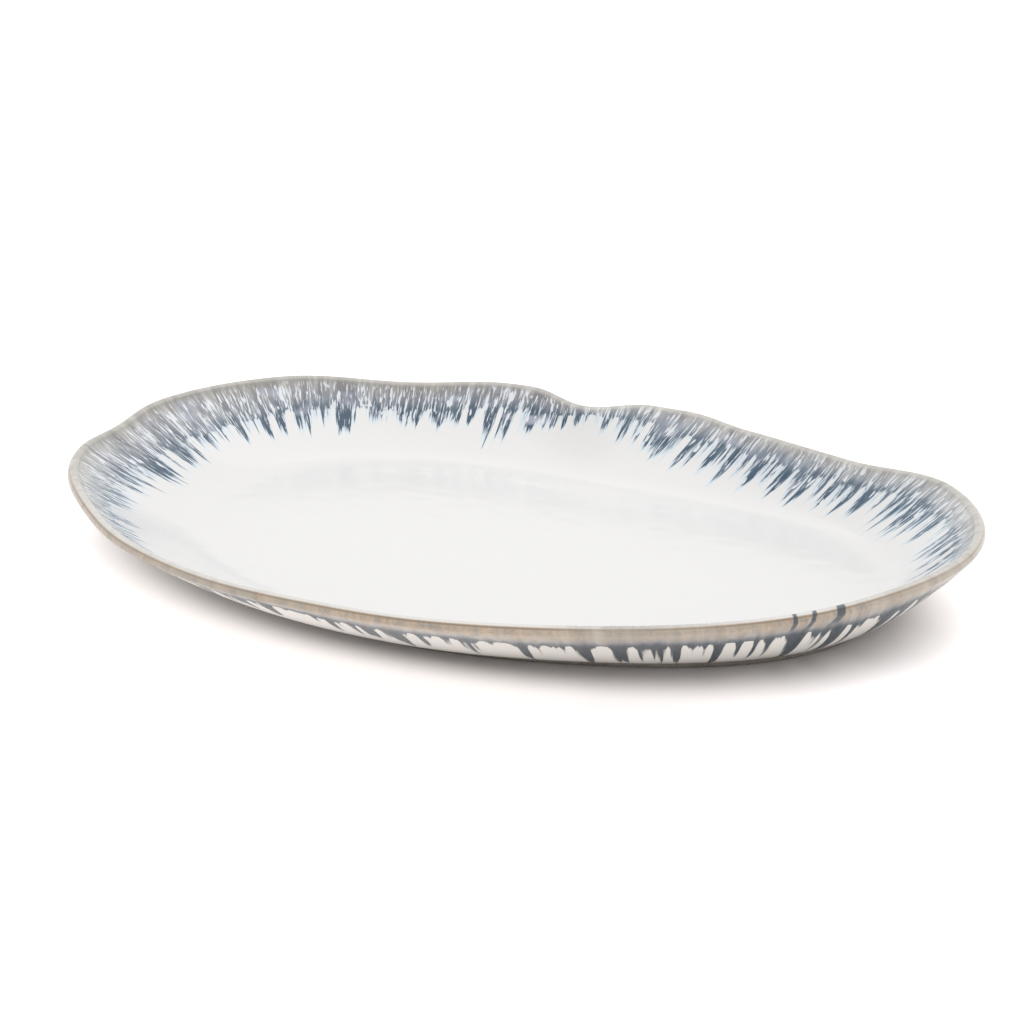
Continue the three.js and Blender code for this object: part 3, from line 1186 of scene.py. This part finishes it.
@dataclass
class FootRing:
    """The bare ring that the platter stands on, with its edges wiped round."""

    surface: GlazedSurface
    wiped_radius: float = 0.5
    wiped_segments: int = 3
    wiped_corner: float = 20.0
    smooth_corner: float = 40.0

    def section(self) -> list[tuple[float, float]]:
        """The corners of the ring's section, from its outer shoulder over the top and round.

        Returns:
            How far outside the foot's outline each corner lies, and its height.
        """
        shape = self.surface.shape
        slope = (shape.foot_width - shape.foot_flat) / 2
        outer_top = shape.foot_height + shape.glaze
        inner_top = shape.recess_height + shape.glaze
        return [
            (0.0, shape.foot_height),
            (-shape.glaze, outer_top),
            (-shape.foot_width / 2, (outer_top + inner_top) / 2),
            (shape.glaze - shape.foot_width, inner_top),
            (-shape.foot_width, shape.recess_height),
            (slope / 2 - shape.foot_width, shape.foot_chamfer),
            (slope - shape.foot_width, 0.0),
            (-slope, 0.0),
            (-slope / 2, shape.foot_chamfer),
        ]

    def build(self) -> bpy.types.Object:
        """Shapes a torus to the ring's section and rounds its corners.

        Returns:
            The finished ring.
        """
        section = self.section()
        columns = self.surface.columns
        bpy.ops.object.select_all(action="DESELECT")
        bpy.ops.mesh.primitive_torus_add(
            major_segments=columns, minor_segments=len(section), major_radius=1.0, minor_radius=0.25
        )
        ring = bpy.context.view_layer.objects.active
        ring.name = "foot_ring_fine"
        ring.data.name = ring.name
        x, y, z = places_of(ring.data).T
        column = np.rint(np.arctan2(y, x) / (2 * np.pi) * columns).astype(int) % columns
        turn = np.arctan2(z, np.hypot(x, y) - 1.0) / (2 * np.pi) * len(section)
        corner = np.rint(turn).astype(int) % len(section)
        rings = np.array([self.surface.shrunk(1.0, outside, height) for outside, height in section])
        ring.data.vertices.foreach_set("co", (rings[corner, column] * MM).ravel())
        ring.data.update()
        rounding = {"width": self.wiped_radius * MM, "segments": self.wiped_segments}
        rounding |= {"limit_method": "ANGLE", "angle_limit": math.radians(self.wiped_corner)}
        apply_modifier(ring, "BEVEL", rounding)
        bpy.ops.object.shade_smooth_by_angle(angle=math.radians(self.smooth_corner))
        return ring


# ---------------------------------------------------------------- studio


@dataclass(frozen=True)
class Studio:
    """A glowing table with a painted shadow, an even surround, one soft box overhead and the camera.

    The centres and the foot's half sizes are in millimetres, and the lens and its sensor
    too. The camera's angles are in degrees, and its distance and aim in metres. The table's
    glow is masked to paint the platter's shadow on it: it is dark as far as one oval round
    the foot and glows in full from a wider one on, both as shares of the foot and shifted
    by a few millimetres.
    """

    frame_centre: tuple[float, float]
    foot_centre: tuple[float, float]
    foot_half: tuple[float, float]
    lens: float = 91.40625
    sensor: float = 36.0
    azimuth: float = 27.23
    elevation: float = 20.0
    distance: float = 1.13027
    look_at: tuple[float, float, float] = (-0.00224, 0.02036, 0.020)
    table: str = "#dcd9d8"
    table_glow: str = "#fffaf9"
    glow_strength: float = 0.6
    painted_shadow_full: float = 1.1
    painted_shadow_end: float = 1.37
    painted_shadow_shift: tuple[float, float] = (-10.0, 3.0)
    table_size: float = 12.0
    surround_strength: float = 1.0
    overhead_place: tuple[float, float, float] = (-0.2, 0.5, 1.7)
    overhead_aim: tuple[float, float, float] = (0.0, 0.0, 0.02)
    overhead_size: float = 1.8
    overhead_watts: float = 7.0

    def camera(self) -> None:
        """The camera, a long lens a little above the platter and to its right."""
        data = bpy.data.cameras.new("camera")
        data.sensor_width = self.sensor
        data.lens = self.lens
        data.clip_start = 0.05
        data.clip_end = 30.0
        turn = math.radians(self.azimuth)
        tilt = math.radians(self.elevation)
        level = (math.sin(turn) * math.cos(tilt), -math.cos(turn) * math.cos(tilt))
        back = Vector((*level, math.sin(tilt)))
        target = Vector(self.look_at) - Vector((*self.frame_centre, 0.0)) * MM
        holder = bpy.data.objects.new("camera", data)
        bpy.context.scene.collection.objects.link(holder)
        holder.location = target + back * self.distance
        holder.rotation_euler = (-back).to_track_quat("-Z", "Y").to_euler()
        bpy.context.scene.camera = holder

    def floor(self) -> None:
        """A white table that glows everywhere but under the platter and close round it, which paints the
        platter's shadow on it.
        """
        bpy.ops.object.select_all(action="DESELECT")
        bpy.ops.mesh.primitive_plane_add(size=self.table_size, location=(0.0, 0.0, 0.0))
        floor = bpy.context.view_layer.objects.active
        floor.name = "studio_floor"
        made = bpy.data.materials.new("white_table_with_painted_shadow")
        made.use_nodes = True
        tree = made.node_tree
        shader = tree.nodes["Principled BSDF"]
        matt = {"Base Color": linear(self.table), "Roughness": 1.0, "Specular IOR Level": 0.0}
        for name, value in (matt | {"Emission Color": linear(self.table_glow)}).items():
            shader.inputs[name].default_value = value
        x, y = (centre + shift for centre, shift in zip(self.foot_centre, self.painted_shadow_shift))
        half = Vector((*self.foot_half, MM)) * MM
        place = add_node(tree, "ShaderNodeTexCoord").outputs["Object"]
        shrink = {0: place, 1: Vector((x, y, 0.0)) * MM}
        centred = add_node(tree, VECTORS, SUBTRACT, shrink).outputs["Vector"]
        shares = add_node(tree, VECTORS, {"operation": "DIVIDE"}, {0: centred, 1: half}).outputs["Vector"]
        away = add_node(tree, VECTORS, {"operation": "LENGTH"}, {0: shares}).outputs["Value"]
        # The glow fades in between the two ovals round the foot: a painted shadow of the platter.
        glow = {"Value": away, "From Min": self.painted_shadow_full, "From Max": self.painted_shadow_end}
        glow |= {"To Max": self.glow_strength}
        glow_round_painted_shadow = add_node(tree, RANGE, SMOOTH, glow).outputs["Result"]
        tree.links.new(glow_round_painted_shadow, shader.inputs["Emission Strength"])
        floor.data.materials.append(made)

    def overhead(self) -> None:
        """One wide soft box, which gives the glaze its broad gloss."""
        data = bpy.data.lights.new("overhead", "AREA")
        data.shape = "RECTANGLE"
        data.size = self.overhead_size
        data.size_y = self.overhead_size
        data.energy = self.overhead_watts
        box = bpy.data.objects.new("overhead", data)
        bpy.context.scene.collection.objects.link(box)
        box.location = self.overhead_place
        facing = Vector(self.overhead_aim) - Vector(self.overhead_place)
        box.rotation_euler = facing.to_track_quat("-Z", "Y").to_euler()

    def surround(self) -> None:
        """An even white surround."""
        world = bpy.data.worlds.new("studio_surround")
        world.use_nodes = True
        background = world.node_tree.nodes["Background"]
        background.inputs["Color"].default_value = (1.0, 1.0, 1.0, 1.0)
        background.inputs["Strength"].default_value = self.surround_strength
        bpy.context.scene.world = world

    def build(self) -> None:
        """Sets up the camera, the table, the surround and the light."""
        bpy.context.scene.view_settings.view_transform = "Standard"
        self.camera()
        self.floor()
        self.surround()
        self.overhead()


@dataclass(frozen=True)
class Coat:
    """One coat of glaze: its CAD node, its material slot and the rows that it covers."""

    node: str
    slot: str
    first: int
    last: int


def coats_of(surface: GlazedSurface) -> list[Coat]:
    """The six coats, from the floor over the lip to the base.

    Args:
        surface: The glazed surface that they are cut from.

    Returns:
        The coats in that order.
    """
    lip = surface.start[Part.LIP]
    well_top = surface.start[Part.INNER_WALL] + 20
    edge_foot = surface.start[Part.OUTER_WALL] + 4
    outer_rim_foot = surface.start[Part.OUTER_WALL] + 19
    return [
        Coat("well_glaze", "white_glaze", 0, well_top),
        Coat("rim_glaze", "reactive_glaze", well_top, lip),
        Coat("edge_glaze", "tan_edge_glaze", lip, edge_foot),
        Coat("outer_rim_glaze", "reactive_glaze", edge_foot, outer_rim_foot),
        Coat("wall_glaze", "white_glaze", outer_rim_foot, surface.start[Part.FOOT_SEAT]),
        Coat("base_glaze", "white_glaze", surface.start[Part.BASE], surface.last_row),
    ]


def hand_in(piece: bpy.types.Object, node: str, material: bpy.types.Material) -> None:
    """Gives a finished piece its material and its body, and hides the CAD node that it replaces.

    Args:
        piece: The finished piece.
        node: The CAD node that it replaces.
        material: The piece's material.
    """
    piece.data.materials.append(material)
    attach(piece, "root")
    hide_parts(node)
    log.info("%s: %d faces", piece.name, len(piece.data.polygons))


def main() -> None:
    """Builds the platter, its glaze, the floor, the lights and the camera."""
    shape = PlatterShape()
    surface = GlazedSurface(shape, GlazeFlow())
    body = GlazedBody(surface)
    crossings = tuple(
        Crossing(*surface.on_circle_of_runs(angle, lean), half_width)
        for angle, lean, half_width in ((336.3, 0.28, 1.1), (339.1, 0.5, 1.2), (343.2, 0.6, 2.4))
    )
    glazes = {
        "white_glaze": PlatterGlaze("white_china_glaze", crossings).material(),
        "reactive_glaze": PlatterGlaze("reactive_blue_grey_glaze", crossings).material(),
        "tan_edge_glaze": PlatterGlaze("tan_breaking_glaze", crossings).material(),
    }
    master = body.master()
    for coat in coats_of(surface):
        piece = body.coat(master, coat.node + "_fine", coat.first, coat.last)
        hand_in(piece, coat.node, glazes[coat.slot])
    hand_in(body.clay(master), "clay_body", BareClay("fired_stoneware").material())
    bpy.data.objects.remove(master)
    # The foot ring's clay is a darker copy of the body's clay: painted shade under the platter.
    wiped = BareClay("bare_stoneware_painted_shade", light="#928d86", dark="#766f67")
    hand_in(FootRing(surface).build(), "foot_ring", wiped.material())
    centre = shape.centre(surface.angles)
    foot_centre = tuple(np.array(shape.foot_shift) - centre)
    foot_half = (shape.length / 2 - shape.wall_run_ends, shape.width / 2 - shape.wall_run_sides)
    Studio(tuple(centre), foot_centre, foot_half).build()


if __name__ == "__main__":
    main()
